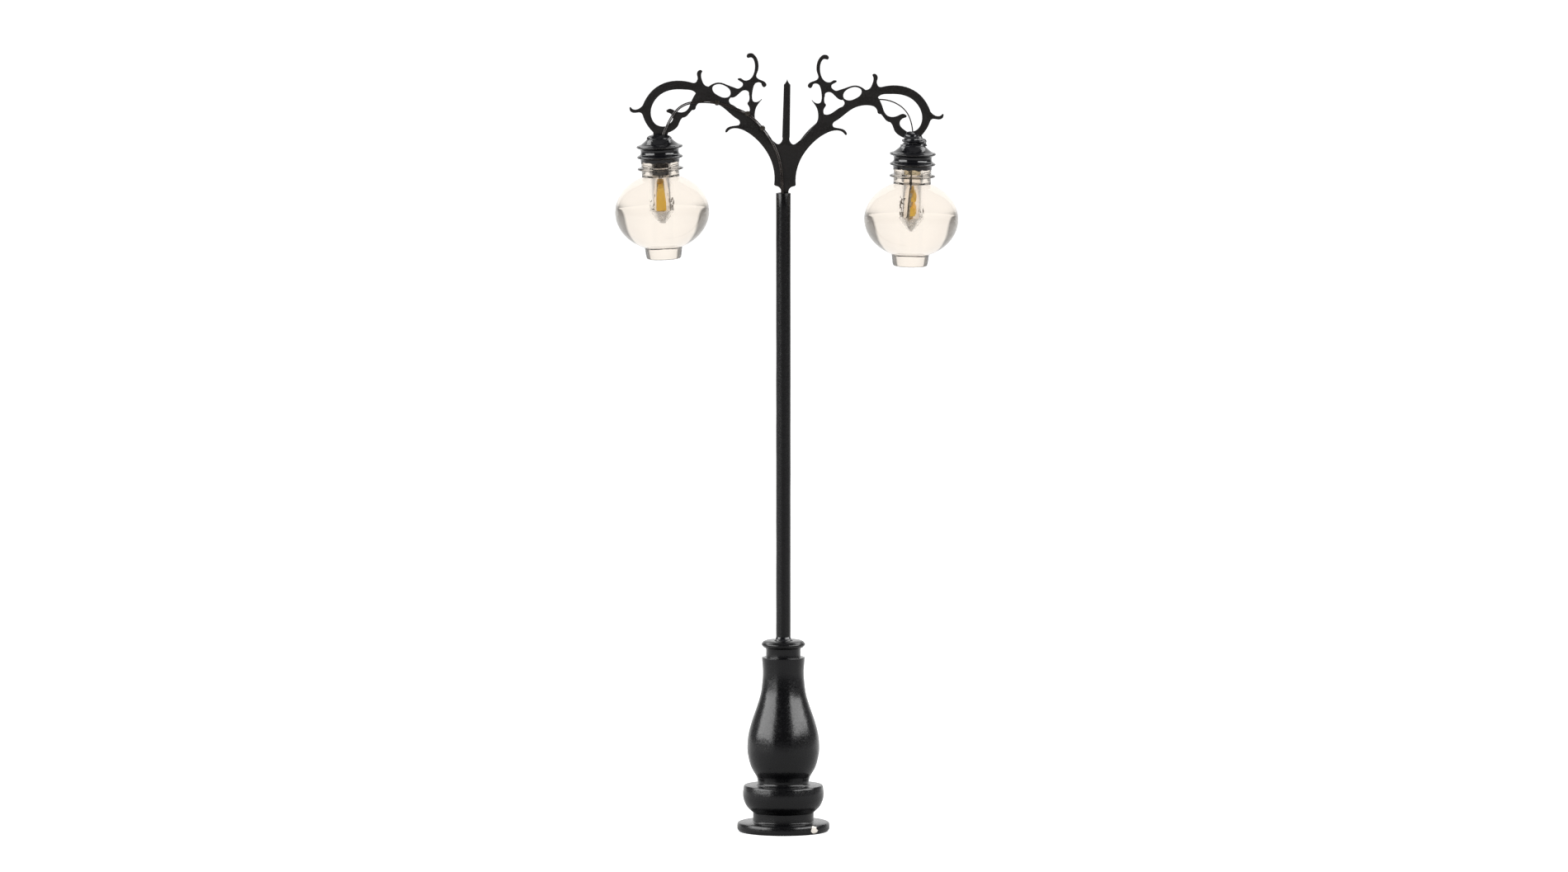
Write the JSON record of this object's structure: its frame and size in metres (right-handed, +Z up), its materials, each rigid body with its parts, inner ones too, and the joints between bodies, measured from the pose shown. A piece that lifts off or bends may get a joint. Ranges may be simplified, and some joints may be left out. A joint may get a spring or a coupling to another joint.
{
  "type": "miniature street lamp post",
  "caption": "Miniature layout street lamp post with a turned base, slim tube, etched scroll arms and hanging clear globes lit by chip lamps.",
  "frame": {"origin": "middle of the base's underside", "axes": "+Z up along the tube, +X along the arms towards the lower of the two lamps, +Y away from the face of the plate that carries the left-hand lead"},
  "size_m": [0.0291, 0.008, 0.0663],
  "materials": {
    "base_paint": "satin, fine grain",
    "pole_paint": "satin",
    "plate_paint": "satin",
    "cap_black": "gloss",
    "black_glue": "gloss",
    "globe_clear": "clear, polished",
    "clear_glue": "clear, glossy",
    "chip_board": "matt",
    "chip_phosphor": "satin",
    "chip_terminal": "plated",
    "solder": "bright",
    "wire_enamel": "gloss enamel"
  },
  "bodies": {
    "root": {"base": "base_paint", "pole": "pole_paint", "arm_plate": "plate_paint", "mouth_glue": "black_glue", "foot_glue": "black_glue", "cap_left": "cap_black", "cap_right": "cap_black", "cap_glue_left": "black_glue", "cap_glue_right": "black_glue", "globe_left": "globe_clear", "globe_right": "globe_clear", "bore_glue_left": "black_glue", "bore_glue_right": "clear_glue", "led_board_left": "chip_board", "led_board_right": "chip_board", "led_phosphor_left": "chip_phosphor", "led_phosphor_right": "chip_phosphor", "led_terminals_left": "chip_terminal", "led_terminals_right": "chip_terminal", "led_solder_left": "solder", "led_solder_right": "solder", "lead_left_a": "wire_enamel", "lead_left_b": "wire_enamel", "lead_right_a": "wire_enamel", "lead_right_b": "wire_enamel", "lead_glue_left": "clear_glue", "lead_glue_right": "clear_glue"}
  },
  "joints": []
}
